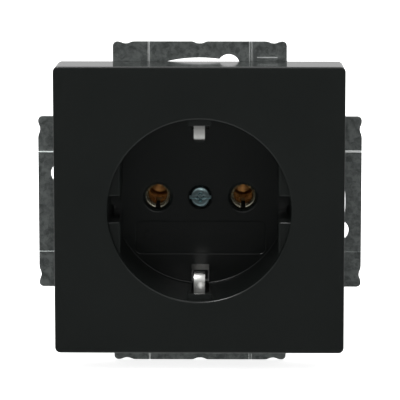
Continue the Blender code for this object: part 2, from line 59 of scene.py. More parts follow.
TERM_X, TERM_Z, BAR_Z0, BAR_Z1, PEG_Y, PEG_Z = 12.5, 11.2, 13.0, 13.9, 20.0, 6.0
CLAW_X, CLAW_Y, CLAW_SCREW_X = 21.3, 11.6, 25.2


# ------------------------------------------------------------------ shapes
def add_mesh(bm, name="shape"):
    bmesh.ops.recalc_face_normals(bm, faces=bm.faces)
    if bm.calc_volume(signed=True) < 0:
        bmesh.ops.reverse_faces(bm, faces=bm.faces)
    mesh = bpy.data.meshes.new(name)
    bm.to_mesh(mesh)
    bm.free()
    obj = bpy.data.objects.new(name, mesh)
    bpy.context.scene.collection.objects.link(obj)
    return obj


def extruded(points, vec, bevel=0.0, segments=3, key=None):
    """A flat outline of 3-D points carried along vec; bevel rounds the edges of its first face."""
    bm = bmesh.new()
    first = [bm.verts.new(p) for p in points]
    face = bm.faces.new(first)
    grown = bmesh.ops.extrude_face_region(bm, geom=[face])
    bmesh.ops.translate(bm, vec=vec, verts=[v for v in grown["geom"] if isinstance(v, bmesh.types.BMVert)])
    if bevel:
        axis = max(range(3), key=lambda i: abs(vec[i]))
        level = points[0][axis]
        front = [e for e in bm.edges if all(abs(v.co[axis] - level) < 1e-6 for v in e.verts)]
        bmesh.ops.bevel(bm, geom=front, offset=bevel, segments=segments, profile=0.5, affect="EDGES")
    return add_mesh(bm)


def prism(outline, y0, y1, bevel=0.0, segments=3):
    return extruded([(x, y0, z) for x, z in outline], (0, y1 - y0, 0), bevel, segments)


def drafted(levels):
    """A solid through outlines of the same point count, one at each depth."""
    bm = bmesh.new()
    rings = [[bm.verts.new((x, y, z)) for x, z in outline] for outline, y in levels]
    n = len(rings[0])
    for lower, upper in zip(rings, rings[1:]):
        for i in range(n):
            j = (i + 1) % n
            bm.faces.new((lower[i], lower[j], upper[j], upper[i]))
    bm.faces.new(rings[0])
    bm.faces.new(rings[-1])
    return add_mesh(bm)


def slab(outline, x0, x1, bevel=0.0):
    return extruded([(x0, y, z) for y, z in outline], (x1 - x0, 0, 0), bevel)


def plan(outline, z0, z1, bevel=0.0):
    return extruded([(x, y, z0) for x, y in outline], (0, 0, z1 - z0), bevel)


def box(x0, x1, y0, y1, z0, z1):
    return prism([(x0, z0), (x1, z0), (x1, z1), (x0, z1)], y0, y1)


def stack(profile, x=0.0, z=0.0, steps=64):
    """A round solid along Y from (radius, y) points, front to back, closed with flat ends."""
    bm = bmesh.new()
    rings = [[bm.verts.new((x + r * math.cos(math.tau * i / steps), y, z + r * math.sin(math.tau * i / steps)))
              for i in range(steps)] for r, y in profile]
    for lower, upper in zip(rings, rings[1:]):
        for i in range(steps):
            j = (i + 1) % steps
            bm.faces.new((lower[i], lower[j], upper[j], upper[i]))
    bm.faces.new(rings[0])
    bm.faces.new(rings[-1])
    return add_mesh(bm)


def rod(x, z, r, y0, y1, steps=48):
    return stack([(r, y0), (r, y1)], x, z, steps)


def swept(profile, x, z, start, sweep, steps):
    """A closed (radius, y) profile turned through part of a circle about the Y line through (x, z)."""
    bm = bmesh.new()
    rings = []
    for k in range(steps + 1):
        a = math.radians(start + sweep * k / steps)
        rings.append([bm.verts.new((x + r * math.cos(a), y, z + r * math.sin(a))) for r, y in profile])
    n = len(profile)
    for lower, upper in zip(rings, rings[1:]):
        for i in range(n):
            j = (i + 1) % n
            bm.faces.new((lower[i], lower[j], upper[j], upper[i]))
    bm.faces.new(rings[0])
    bm.faces.new(rings[-1])
    return add_mesh(bm)


def torus_part(x, z, profile, steps=48):
    """A closed (radius, y) profile turned through the whole circle."""
    bm = bmesh.new()
    rings = []
    for k in range(steps):
        a = math.tau * k / steps
        rings.append([bm.verts.new((x + r * math.cos(a), y, z + r * math.sin(a))) for r, y in profile])
    n = len(profile)
    for k in range(steps):
        lower, upper = rings[k], rings[(k + 1) % steps]
        for i in range(n):
            j = (i + 1) % n
            bm.faces.new((lower[i], lower[j], upper[j], upper[i]))
    return add_mesh(bm)


def combine(obj, others, how):
    for other in others:
        mod = obj.modifiers.new("shape", "BOOLEAN")
        mod.operation = how
        mod.solver = "EXACT"
        mod.object = other
        depsgraph = bpy.context.evaluated_depsgraph_get()
        mesh = bpy.data.meshes.new_from_object(obj.evaluated_get(depsgraph))
        obj.modifiers.remove(mod)
        obj.data = mesh
        bpy.data.objects.remove(other, do_unlink=True)
    return obj


def cut(obj, *others):
    return combine(obj, others, "DIFFERENCE")


def join(obj, *others):
    return combine(obj, others, "UNION")


def common(obj, *others):
    return combine(obj, others, "INTERSECT")


def arc(cx, cz, r, a0, a1, steps):
    return [(cx + r * math.cos(math.radians(a0 + (a1 - a0) * i / steps)), cz + r * math.sin(math.radians(a0 + (a1 - a0) * i / steps)))
            for i in range(steps + 1)]


def rounded(half, radius, steps=8, half_z=None, cz0=0.0):
    hz = half if half_z is None else half_z
    c, cz = half - radius, hz - radius
    pts = (arc(c, cz, radius, 0, 90, steps) + arc(-c, cz, radius, 90, 180, steps)
           + arc(-c, -cz, radius, 180, 270, steps) + arc(c, -cz, radius, 270, 360, steps))
    return [(x, z + cz0) for x, z in pts]


def curve_through(points, each):
    out = []
    last = len(points) - 1
    for i in range(last):
        p0, p1, p2, p3 = (Vector(points[k]) for k in (max(i - 1, 0), i, i + 1, min(i + 2, last)))
        for s in range(each):
            t = s / each
            out.append(0.5 * ((2 * p1) + (p2 - p0) * t + (2 * p0 - 5 * p1 + 4 * p2 - p3) * t * t + (3 * p1 - p0 - 3 * p2 + p3) * t ** 3))
    out.append(Vector(points[last]))
    return out


def strip(points, thickness):
    left, right = [], []
    for i, p in enumerate(points):
        a, b = points[max(i - 1, 0)], points[min(i + 1, len(points) - 1)]
        t = (b - a).normalized()
        n = Vector((-t.y, t.x)) * (thickness / 2)
        left.append(tuple(p + n))
        right.append(tuple(p - n))
    return left + right[::-1]


def soften(obj, width, segments=2, angle=32.0):
    """Rounds the sharp edges of a finished shape."""
    mod = obj.modifiers.new("edges", "BEVEL")
    mod.width = width
    mod.segments = segments
    mod.limit_method = "ANGLE"
    mod.angle_limit = math.radians(angle)
    mod.use_clamp_overlap = True
    mod.miter_outer = "MITER_ARC"
    depsgraph = bpy.context.evaluated_depsgraph_get()
    mesh = bpy.data.meshes.new_from_object(obj.evaluated_get(depsgraph))
    obj.modifiers.remove(mod)
    obj.data = mesh
    return obj


def finish_piece(obj, name, slot, body, *nodes, angle=32.0, look=None):
    """Scale a shape to metres, name it, paint it, and hang it on its CAD body in place of its CAD nodes."""
    obj.data.transform(Matrix.Scale(MM, 4))
    bm = bmesh.new()
    bm.from_mesh(obj.data)
    bmesh.ops.remove_doubles(bm, verts=bm.verts, dist=1e-8)
    bmesh.ops.dissolve_degenerate(bm, edges=bm.edges, dist=1e-8)
    bm.to_mesh(obj.data)
    bm.free()
    obj.name = name
    obj.data.name = name
    obj.data.materials.clear()
    obj.data.materials.append(FINISH[look or slot])
    obj.data.shade_smooth()
    obj.data.set_sharp_from_angle(angle=math.radians(angle))
    mod = obj.modifiers.new("even", "WEIGHTED_NORMAL")
    mod.mode = "FACE_AREA"
    mod.weight = 50
    mod.keep_sharp = True
    obj.data = bpy.data.meshes.new_from_object(obj.evaluated_get(bpy.context.evaluated_depsgraph_get()))
    obj.modifiers.clear()
    obj.data.name = name
    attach(obj, body)
    if nodes:
        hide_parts(*nodes)
    return obj


# ------------------------------------------------------------------ materials
def new_material(name):
    mat = bpy.data.materials.new(name)
    mat.use_nodes = True
    tree = mat.node_tree
    shader = tree.nodes["Principled BSDF"]
    coords = tree.nodes.new("ShaderNodeTexCoord")
    return mat, tree, shader, coords.outputs["Object"]


def noise(tree, coords, scale, detail=4.0, rough=0.55, stretch=(1, 1, 1), distortion=0.0):
    mapping = tree.nodes.new("ShaderNodeMapping")
    mapping.inputs["Scale"].default_value = stretch
    tree.links.new(coords, mapping.inputs["Vector"])
    tex = tree.nodes.new("ShaderNodeTexNoise")
    tex.inputs["Scale"].default_value = scale
    tex.inputs["Detail"].default_value = detail
    tex.inputs["Roughness"].default_value = rough
    tex.inputs["Distortion"].default_value = distortion
    tree.links.new(mapping.outputs["Vector"], tex.inputs["Vector"])
    return tex.outputs["Fac"]


def cells(tree, coords, scale, feature="F1"):
    tex = tree.nodes.new("ShaderNodeTexVoronoi")
    tex.feature = feature
    tex.inputs["Scale"].default_value = scale
    tree.links.new(coords, tex.inputs["Vector"])
    return tex


def ramp(tree, fac, *stops):
    node = tree.nodes.new("ShaderNodeValToRGB")
    el = node.color_ramp.elements
    while len(el) < len(stops):
        el.new(0.5)
    for e, (pos, col) in zip(el, stops):
        e.position = pos
        e.color = (*col, 1.0) if len(col) == 3 else (col[0], col[0], col[0], 1.0)
    tree.links.new(fac, node.inputs["Fac"])
    return node.outputs["Color"]


def spread(tree, fac, low, high):
    node = tree.nodes.new("ShaderNodeMapRange")
    node.inputs["To Min"].default_value = low
    node.inputs["To Max"].default_value = high
    tree.links.new(fac, node.inputs["Value"])
    return node.outputs["Result"]


def blended(tree, fac, a, b, kind="MIX"):
    node = tree.nodes.new("ShaderNodeMix")
    node.data_type = "RGBA"
    node.blend_type = kind
    for value, socket in ((fac, node.inputs["Factor"]), (a, node.inputs[6]), (b, node.inputs[7])):
        if isinstance(value, (int, float)):
            socket.default_value = value
        elif isinstance(value, tuple):
            socket.default_value = (*value, 1.0)
        else:
            tree.links.new(value, socket)
    return node.outputs[2]


def bumped(tree, shader, *layers):
    """Stack (height socket, strength, distance) layers of bump."""
    normal = None
    for height, strength, distance in layers:
        node = tree.nodes.new("ShaderNodeBump")
        node.inputs["Strength"].default_value = strength
        node.inputs["Distance"].default_value = distance
        tree.links.new(height, node.inputs["Height"])
        if normal is not None:
            tree.links.new(normal, node.inputs["Normal"])
        normal = node.outputs["Normal"]
    tree.links.new(normal, shader.inputs["Normal"])


def worn_edges(tree, low=0.5, high=0.62):
    """How much a point stands out on an edge, from 0 to 1."""
    geo = tree.nodes.new("ShaderNodeNewGeometry")
    node = tree.nodes.new("ShaderNodeMapRange")
    node.inputs["From Min"].default_value = low
    node.inputs["From Max"].default_value = high
    tree.links.new(geo.outputs["Pointiness"], node.inputs["Value"])
    return node.outputs["Result"]


def band(tree, value, centre, half, edge=0.06):
    """1 within half of centre along a coordinate (mm), 0 outside."""
    off = tree.nodes.new("ShaderNodeMath")
    off.operation = "SUBTRACT"
    tree.links.new(value, off.inputs[0])
    off.inputs[1].default_value = centre * MM
    size = tree.nodes.new("ShaderNodeMath")
    size.operation = "ABSOLUTE"
    tree.links.new(off.outputs[0], size.inputs[0])
    edge_map = tree.nodes.new("ShaderNodeMapRange")
    edge_map.inputs["From Min"].default_value = (half + edge) * MM
    edge_map.inputs["From Max"].default_value = (half - edge) * MM
    tree.links.new(size.outputs[0], edge_map.inputs["Value"])
    return edge_map.outputs["Result"]


def both(tree, a, b, how="MULTIPLY"):
    node = tree.nodes.new("ShaderNodeMath")
    node.operation = how
    tree.links.new(a, node.inputs[0])
    tree.links.new(b, node.inputs[1])
    return node.outputs[0]


def moulded(name, dark, light, rough, specular, grain=2600.0, bump=0.22, rough_spread=0.06, polished=None):
    """Moulded plastic with a fine spark-eroded grain; polished = (distance, roughness) gives the sides beyond that distance a plain even sheen."""
    mat, tree, shader, at = new_material(name)
    broad = noise(tree, at, 55.0, 3.0)
    fine = noise(tree, at, grain, 3.0, 0.6)
    speck = noise(tree, at, grain * 0.45, 2.0, 0.7)
    colour = ramp(tree, broad, (0.3, dark), (0.7, light))
    colour = blended(tree, spread(tree, speck, 0.0, 0.35), colour, tuple(c * 1.8 for c in light))
    tree.links.new(colour, shader.inputs["Base Color"])
    roughness = spread(tree, speck, rough - rough_spread, rough + rough_spread)
    if polished:
        axes = tree.nodes.new("ShaderNodeSeparateXYZ")
        tree.links.new(at, axes.inputs["Vector"])
        reach = None
        for out in (axes.outputs["X"], axes.outputs["Z"]):
            size = tree.nodes.new("ShaderNodeMath")
            size.operation = "ABSOLUTE"
            tree.links.new(out, size.inputs[0])
            reach = size.outputs[0] if reach is None else both(tree, reach, size.outputs[0], "MAXIMUM")
        side = tree.nodes.new("ShaderNodeMapRange")
        side.inputs["From Min"].default_value = (polished[0] - 0.05) * MM
        side.inputs["From Max"].default_value = (polished[0] + 0.05) * MM
        tree.links.new(reach, side.inputs["Value"])
        flat = tree.nodes.new("ShaderNodeMix")
        flat.data_type = "FLOAT"
        tree.links.new(side.outputs["Result"], flat.inputs["Factor"])
        tree.links.new(roughness, flat.inputs[2])
        flat.inputs[3].default_value = polished[1]
        roughness = flat.outputs[0]
        grainy = tree.nodes.new("ShaderNodeMapRange")
        grainy.inputs["To Min"].default_value = 1.0
        grainy.inputs["To Max"].default_value = 0.0
        tree.links.new(side.outputs["Result"], grainy.inputs["Value"])
        fine = both(tree, fine, grainy.outputs["Result"])
        broad = both(tree, broad, grainy.outputs["Result"])
    tree.links.new(roughness, shader.inputs["Roughness"])
    shader.inputs["Specular IOR Level"].default_value = specular
    bumped(tree, shader, (fine, bump, 0.00002), (broad, 0.05, 0.0001))
    return mat


def galvanised(name, dark, light, rough=0.4, scale=520.0, scribe_highlights=False):
    """Hot-dipped sheet: faint crystals, a soft mottle and fine handling marks; when switched on, painted highlights put
    pale, less metallic lines on the grooves across the tabs and along the lower edge of the stamped panel, standing in
    for the light those edges catch.
    """
    mat, tree, shader, at = new_material(name)
    crystal = cells(tree, at, scale)
    mottle = noise(tree, at, 760.0, 5.0, 0.68, distortion=0.6)
    drawn = noise(tree, at, 900.0, 4.0, 0.6, (1.0, 1.0, 0.12))
    tone = blended(tree, 0.16, mottle, crystal.outputs["Color"])
    bw = tree.nodes.new("ShaderNodeRGBToBW")
    tree.links.new(tone, bw.inputs["Color"])
    colour = ramp(tree, bw.outputs["Val"], (0.36, dark), (0.60, light))
    colour = blended(tree, spread(tree, drawn, 0.0, 0.35), colour, dark)
    shader.inputs["Metallic"].default_value = 1.0
    # painted highlights: pale lines on the tab grooves and on the stamped panel's lower edge stand in for the light
    # those edges catch
    if scribe_highlights:
        axes = tree.nodes.new("ShaderNodeSeparateXYZ")
        tree.links.new(at, axes.inputs["Vector"])
        x, y, z = axes.outputs
        tabs = None
        for s in (-1, 1):
            upper = band(tree, z, s * 34.0, 3.0)
            for line, half in ((-11.15, 0.24), (10.85, 0.10), (11.35, 0.10)):
                mark = both(tree, band(tree, x, line, half), upper)
                tabs = mark if tabs is None else both(tree, tabs, mark, "MAXIMUM")
        # painted highlight along the lower edge of the stamped panel
        tabs = both(tree, tabs, both(tree, band(tree, x, 14.75, 2.25), band(tree, z, 32.05, 0.12)), "MAXIMUM")
        tabs = both(tree, tabs, both(tree, band(tree, x, 34.0, 3.0), band(tree, z, 11.3, 0.24)), "MAXIMUM")
        tabs = both(tree, tabs, band(tree, y, -0.95, 0.3))
        tabs = both(tree, tabs, spread(tree, mottle, 0.75, 1.0))
        # the pale colour of the painted highlights, made less metallic below
        colour = blended(tree, tabs, colour, (0.74, 0.76, 0.75))
        highlight_metallic = tree.nodes.new("ShaderNodeMapRange")
        highlight_metallic.inputs["To Min"].default_value = 1.0
        highlight_metallic.inputs["To Max"].default_value = 0.35
        tree.links.new(tabs, highlight_metallic.inputs["Value"])
        tree.links.new(highlight_metallic.outputs["Result"], shader.inputs["Metallic"])
    tree.links.new(colour, shader.inputs["Base Color"])
    tree.links.new(spread(tree, mottle, rough - 0.1, rough + 0.14), shader.inputs["Roughness"])
    bumped(tree, shader, (mottle, 0.16, 0.00003), (drawn, 0.08, 0.00002))
    return mat


def plated(name, dark, light, rough, along=(1.0, 1.0, 1.0), grain=1800.0, bump=0.06, tin_and_highlight=None):
    """Plated or drawn metal with fine lines along the way it was worked; the last option, (colour, y from, y to),
    paints its front paler: partly a tin colour, partly a painted highlight standing in for the light the front lip
    catches.
    """
    mat, tree, shader, at = new_material(name)
    lines = noise(tree, at, grain, 4.0, 0.6, along)
    cloud = noise(tree, at, 240.0, 4.0)
    colour = ramp(tree, cloud, (0.3, dark), (0.7, light))
    colour = blended(tree, spread(tree, lines, 0.0, 0.3), colour, dark)
    # partly painted highlight: the front, over the given depths, is blended to a pale tin colour that also stands in
    # for the light the lip catches
    if tin_and_highlight:
        axes = tree.nodes.new("ShaderNodeSeparateXYZ")
        tree.links.new(at, axes.inputs["Vector"])
        depth = tree.nodes.new("ShaderNodeMapRange")
        depth.inputs["From Min"].default_value = tin_and_highlight[1] * MM
        depth.inputs["From Max"].default_value = tin_and_highlight[2] * MM
        tree.links.new(axes.outputs["Y"], depth.inputs["Value"])
        colour = blended(tree, depth.outputs["Result"], tin_and_highlight[0], colour)
    tree.links.new(colour, shader.inputs["Base Color"])
    tree.links.new(spread(tree, lines, rough - 0.06, rough + 0.1), shader.inputs["Roughness"])
    shader.inputs["Metallic"].default_value = 1.0
    bumped(tree, shader, (lines, bump, 0.00002), (cloud, 0.05, 0.00005))
    return mat


FINISH = {
    "black_plastic": moulded("black_plastic", (0.0052, 0.0062, 0.0058), (0.0064, 0.0076, 0.0070), 0.21, 0.36, bump=0.10, rough_spread=0.04, polished=(31.15, 0.13)),
    # True switches on the painted highlight lines on the ring's front face
    "galvanised_steel": galvanised("galvanised_steel", (0.20, 0.218, 0.213), (0.44, 0.47, 0.46), 0.42, 900.0, True),
    "zinc_screw": plated("zinc_screw", (0.24, 0.34, 0.355), (0.44, 0.58, 0.60), 0.20),
    "nickel_clip": plated("nickel_clip", (0.50, 0.50, 0.485), (0.66, 0.66, 0.635), 0.22, (1.0, 0.06, 0.06)),
    "rivet_metal": plated("rivet_metal", (0.34, 0.35, 0.35), (0.50, 0.51, 0.50), 0.34),
    "strap_metal": plated("strap_metal", (0.17, 0.17, 0.165), (0.28, 0.28, 0.27), 0.42, (1.0, 1.0, 0.08)),
    "contact_brass": plated("contact_brass", (0.66, 0.40, 0.17), (0.84, 0.56, 0.26), 0.34, (1.0, 0.08, 1.0)),
    # the sleeves' mouths are painted pale: partly tin, partly a painted highlight where the lips catch the light
    "sleeve_brass": plated("sleeve_brass", (0.66, 0.40, 0.17), (0.84, 0.56, 0.26), 0.24, (1.0, 0.08, 1.0),
                           tin_and_highlight=((0.78, 0.74, 0.58), LEAF_FRONT + 0.5, LEAF_FRONT + 1.7)),
    "base_plastic": moulded("base_plastic", (0.17, 0.175, 0.172), (0.215, 0.22, 0.216), 0.46, 0.42, 1800.0, 0.15),
    "lever_plastic": moulded("lever_plastic", (0.50, 0.45, 0.36), (0.58, 0.53, 0.43), 0.36, 0.5, 1500.0, 0.08),
    "spring_steel": plated("spring_steel", (0.40, 0.41, 0.42), (0.56, 0.57, 0.58), 0.26, (0.08, 1.0, 1.0)),
}


# ------------------------------------------------------------------ cover plate
def well_solid(floor):
    """The round room of the well: a rounded mouth in front and a small fillet round its floor."""
    r = 0.5
    top = PLATE_FRONT
    mouth = [(WELL_R + r - 0.05, top - 0.6), (WELL_R - 0.1 + r, top)]
    for k in range(1, 7):
        a = math.radians(90 * k / 6)
        mouth.append((WELL_R - 0.1 + r * (1 - math.sin(a)), top + r * (1 - math.cos(a))))
    foot = []
    f = 0.32
    for k in range(0, 6):
        a = math.radians(90 * k / 5)
        foot.append((WELL_FLOOR_R - f * (1 - math.cos(a)), floor - f * (1 - math.sin(a))))
    return stack(mouth + foot, steps=144)


def cover_plate():
    half = 31.5
    cover = prism(rounded(half, 1.2, 10), PLATE_FRONT, SKIRT_REAR, bevel=0.4, segments=5)
    for v in cover.data.vertices:
        if v.co.y > SKIRT_REAR - 0.01:
            v.co.x *= 1.0 - 0.26 / half
            v.co.z *= 1.0 - 0.26 / half
    inner = half - 1.6
    cut(cover, prism(rounded(inner, 1.0, 6), PLATE_FRONT + 2.0, 0.0))
    ribs = []
    for s in (-1, 1):
        for x in (-12.0, 12.0):
            lo, hi = sorted((s * 17.5, s * (inner + 0.5)))
            ribs.append(box(x - 0.5, x + 0.5, PLATE_FRONT + 1.0, -5.0, lo, hi))
            ribs.append(box(lo, hi, PLATE_FRONT + 1.0, -5.0, x - 0.5, x + 0.5))
    join(cover, *ribs)
    join(cover, stack([(CUP_R, PLATE_FRONT + 1.0), (CUP_R, FLOOR + FLOOR_WALL - 0.4), (CUP_R - 0.4, FLOOR + FLOOR_WALL)], steps=144))
    # the well, with its two flat guides standing in it
    room = well_solid(FLOOR)
    for s in (-1, 1):
        front = PLATE_FRONT + KEY_RECESS
        guide = plan([(s * KEY_X, front + 0.5), (s * (KEY_X + 0.12), front + 0.2), (s * (KEY_X + 0.5), front), (s * 25.0, front - 0.5),
                      (s * 25.0, FLOOR + 1), (s * KEY_X, FLOOR + 1)], -12.0, 12.0)
        lo, hi = sorted((s * (KEY_X - 0.6), s * 26.0))
        cut(guide, box(lo, hi, PLATE_FRONT - 1, FLOOR + 2, -KEY_NOTCH, KEY_NOTCH))
        soften(guide, 0.32, 4, 40.0)
        cut(room, guide)
    cut(cover, room)
    # small stops deep inside the guide notches
    for s in (-1, 1):
        lo, hi = sorted((s * 17.7, s * 19.9))
        join(cover, box(lo, hi, 2.2, FLOOR + 0.5, -1.2, 1.2))
    # a shallow sunk field in the lower half of the well's floor, with a plain raised bar and stud
    cut(cover, drafted([(rounded(14.9, 1.7, 8, 4.15, -9.15), FLOOR - 0.3), (rounded(14.54, 1.34, 8, 3.79, -9.15), FLOOR), (rounded(14.42, 1.22, 8, 3.67, -9.15), FLOOR + 0.07),
                        (rounded(14.34, 1.14, 8, 3.59, -9.15), FLOOR + 0.16), (rounded(14.3, 1.1, 8, 3.55, -9.15), FLOOR + 0.3)]))
    join(cover, prism(rounded(9.2, 0.3, 4, 0.32, -8.0), FLOOR + 0.12, FLOOR + 0.6, bevel=0.08, segments=2))
    join(cover, stack([(0.9, FLOOR + 0.14), (1.0, FLOOR + 0.22), (1.0, FLOOR + 0.6)], x=-11.6, z=-8.6, steps=32))
    for s in (-1, 1):
        lo, hi = sorted((s * 18.5, s * 20.6))
        join(cover, soften(box(-2.6, 2.6, PLATE_FRONT + 1.0, SLOT_FRONT + 0.3, lo, hi), 0.15, 2))
        # a closed pocket round each clip: deep in front of the ring, shallow inside its hole
        wide = SLOT_HALF + 0.6
        for y0, y1, far in ((SLOT_FRONT - 1.2, -2.0, 23.3), (-2.4, FLOOR + FLOOR_WALL - 0.2, 22.05)):
            lo, hi = sorted((s * 20.9, s * far))
            join(cover, box(-wide, wide, y0, y1, lo, hi))
        for y0, y1, far in ((SLOT_FRONT, -2.7, SLOT_OUT), (-3.0, FLOOR - 0.6, 21.45), (FLOOR - 0.8, FLOOR + FLOOR_WALL + 1, 19.4)):
            lo, hi = sorted((s * SLOT_IN, s * far))
            cut(cover, box(-SLOT_HALF, SLOT_HALF, y0, y1, lo, hi))
        # funnels guide the pins in
        x = s * PIN_PITCH / 2
        cut(cover, stack([(PIN_HOLE_R + 1.6, FLOOR - 0.5), (PIN_HOLE_R + 0.90, FLOOR), (PIN_HOLE_R + 0.74, FLOOR + 0.06), (PIN_HOLE_R + 0.60, FLOOR + 0.14), (PIN_HOLE_R + 0.40, FLOOR + 0.32),
                          (PIN_HOLE_R + 0.20, FLOOR + 0.62), (PIN_HOLE_R + 0.06, FLOOR + 1.0), (PIN_HOLE_R, FLOOR + 1.3), (PIN_HOLE_R, FLOOR + FLOOR_WALL + 1)], x=x, steps=72))
    cut(cover, stack([(3.05, FLOOR - 0.8), (2.75, FLOOR + 0.1), (2.75, FLOOR + 1.0)], steps=64))
    cut(cover, rod(0, 0, 1.75, FLOOR, FLOOR + FLOOR_WALL + 1, 40))
    finish_piece(cover, "plate", "black_plastic", "cover", "cover_plate", angle=28.0)


# ------------------------------------------------------------------ screws
def screw(name, body, node, x, z, head_y, head_r, head_h, shank_r, end_y, turn=0.0, pitch=0.5):
    under = head_y + head_h
    crown = [(0.02, head_y), (head_r * 0.58, head_y + 0.01), (head_r * 0.68, head_y + 0.035), (head_r * 0.77, head_y + 0.09), (head_r * 0.85, head_y + 0.17),
             (head_r * 0.92, head_y + 0.30), (head_r * 0.97, head_y + 0.46), (head_r, head_y + 0.70), (head_r, under - 0.12), (head_r - 0.12, under)]
    head = stack(crown, steps=72)
    recess = [box(-head_r - 1, head_r + 1, head_y - 1, head_y + 0.62, -0.36, 0.36)]
    # a cross recess that narrows as it goes in
    for a in (0.0, 90.0):
        arm = stack([(1.62, head_y - 0.2), (1.45, head_y + 0.15), (0.75, head_y + 1.05)], steps=4)
        arm.data.transform(Matrix.Rotation(math.radians(45), 4, "Y"))
        arm.data.transform(Matrix.Scale(0.36, 4, Vector((0, 0, 1))))
        arm.data.transform(Matrix.Rotation(math.radians(a), 4, "Y"))
        recess.append(arm)
    cut(head, *recess)
    soften(head, 0.05, 2, 40.0)
    shank = []
    y = under - 0.05
    shank.append((shank_r - 0.12, y))
    y = under + 0.6
    while y < end_y - 0.9:
        shank += [(shank_r - 0.28, y), (shank_r, y + pitch * 0.45), (shank_r, y + pitch * 0.55)]
        y += pitch
    shank += [(shank_r - 0.28, y), (shank_r * 0.6, end_y)]
    body_ = stack(shank, steps=36)
    join(head, body_)
    if turn:
        head.data.transform(Matrix.Rotation(math.radians(turn), 4, "Y"))
    head.data.transform(Matrix.Translation((x, 0, z)))
    finish_piece(head, name, "zinc_screw", body, node, angle=40.0)


# ------------------------------------------------------------------ mounting ring
def tab_end(notched):
    pts = [(0.0, 0.43), (0.35, 0.42), (0.75, 0.34), (1.1, 0.19), (1.4, 0.06), (1.75, 0.0)] if notched else [(0.0, 0.0)]
    pts += [(DIP_AT - 2.0, 0.0), (DIP_AT - 1.6, 0.03), (DIP_AT - 1.2, 0.12), (DIP_AT - 0.85, 0.26), (DIP_AT - 0.5, 0.38), (DIP_AT, DIP),
            (DIP_AT + 0.45, 0.39), (DIP_AT + 0.8, 0.27), (DIP_AT + 1.15, 0.13), (DIP_AT + 1.5, 0.05), (DIP_AT + 1.85, 0.02)]
    pts += [(TAB_HALF - 0.66, 0.06), (TAB_HALF - 0.38, 0.2), (TAB_HALF - 0.16, 0.42), (TAB_HALF - 0.04, 0.7), (TAB_HALF, 1.0)]
    return pts


def mounting_ring():
    outline = []
    for turn in range(4):
        c, s = round(math.cos(-turn * math.pi / 2)), round(math.sin(-turn * math.pi / 2))
        side = [(u, RING / 2 - d) for u, d in tab_end(turn in (0, 2))]
        side += arc(TAB_HALF + TAB_FILLET, RING_BODY + TAB_FILLET, TAB_FILLET, 180, 270, 12)
        r = RING_BODY - TAB_HALF - TAB_FILLET
        side += arc(RING_BODY - r, RING_BODY - r, r, 90, 0, 16)[1:-1]
        side += [(z, x) for x, z in arc(TAB_HALF + TAB_FILLET, RING_BODY + TAB_FILLET, TAB_FILLET, 180, 270, 12)][::-1]
        side += [(RING / 2 - d, u) for u, d in tab_end(turn in (1, 3))][:0:-1]
        outline += [(c * x - s * z, s * x + c * z) for x, z in side]
    ring = prism(outline, -RING_T, 0.0)
    cut(ring, rod(0, 0, RING_HOLE_R, -2, 1, 128))
    for turn in range(4):
        a = -turn * 90.0
        lo, hi = 90 - KEYHOLE_TO + a, 90 - KEYHOLE_FROM + a
        slot = (arc(0, 0, KEYHOLE_R + KEYHOLE_HALF, lo, hi, 20)
                + arc(KEYHOLE_R * math.cos(math.radians(hi)), KEYHOLE_R * math.sin(math.radians(hi)), KEYHOLE_HALF, hi, hi + 180, 14)[1:-1]
                + arc(0, 0, KEYHOLE_R - KEYHOLE_HALF, hi, lo, 20)
                + arc(KEYHOLE_R * math.cos(math.radians(lo)), KEYHOLE_R * math.sin(math.radians(lo)), KEYHOLE_HALF, lo + 180, lo + 360, 14)[1:-1])
        big = math.radians(90 - KEYHOLE_BIG_AT[0] + a)
        cut(ring, prism(slot, -2, 1))
        cut(ring, rod(KEYHOLE_BIG_AT[1] * math.cos(big), KEYHOLE_BIG_AT[1] * math.sin(big), KEYHOLE_BIG_R, -2, 1, 48))
    for s in (-1, 1):
        cut(ring, rod(s * CLAW_SCREW_X, 0, 1.85, -2, 1, 36))
        for t in (-1, 1):
            cut(ring, rod(s * POST, t * POST, 1.5, -2, 1, 28))
    soften(ring, 0.13, 2, 40.0)

    # scribed alignment lines across the tabs
    def groove(x0, z0, x1, z1, width, depth):
        d = Vector((x1 - x0, z1 - z0)).normalized()
        n = Vector((-d.y, d.x)) * width / 2
        a, b = Vector((x0, z0)), Vector((x1, z1))
        bm = bmesh.new()
        front, back = -RING_T - 0.05, -RING_T + depth
        w = [bm.verts.new((p.x + k * n.x, front, p.y + k * n.y)) for p in (a, b) for k in (-1.2, 1.2)]
        m = [bm.verts.new((p.x, back, p.y)) for p in (a, b)]
        for f in ((w[0], w[1], m[0]), (w[3], w[2], m[1]), (w[0], w[2], w[3], w[1]), (w[0], m[0], m[1], w[2]), (w[1], w[3], m[1], m[0])):
            bm.faces.new(f)
        return add_mesh(bm)

    for s in (-1, 1):
        cut(ring, groove(-11.15, s * 30.0, -11.15, s * 36.5, 0.55, 0.16))
        cut(ring, groove(10.85, s * 30.0, 10.85, s * 36.5, 0.26, 0.12))
        cut(ring, groove(11.35, s * 30.0, 11.35, s * 36.5, 0.26, 0.12))
        cut(ring, groove(s * 30.0, 11.3, s * 36.5, 11.3, 0.55, 0.16))
        cut(ring, groove(s * 30.0, -11.0, s * 36.5, -11.0, 0.34, 0.13))
    # a plain stamped panel beside the upper lines
    stamp = prism(rounded(2.3, 0.25, 4, 1.15, 33.15), -RING_T - 0.04, -RING_T + 0.09)
    stamp.data.transform(Matrix.Translation((14.75, 0, 0)))
    cut(ring, stamp)
    finish_piece(ring, "ring", "galvanised_steel", "root", "mounting_ring", angle=30.0)


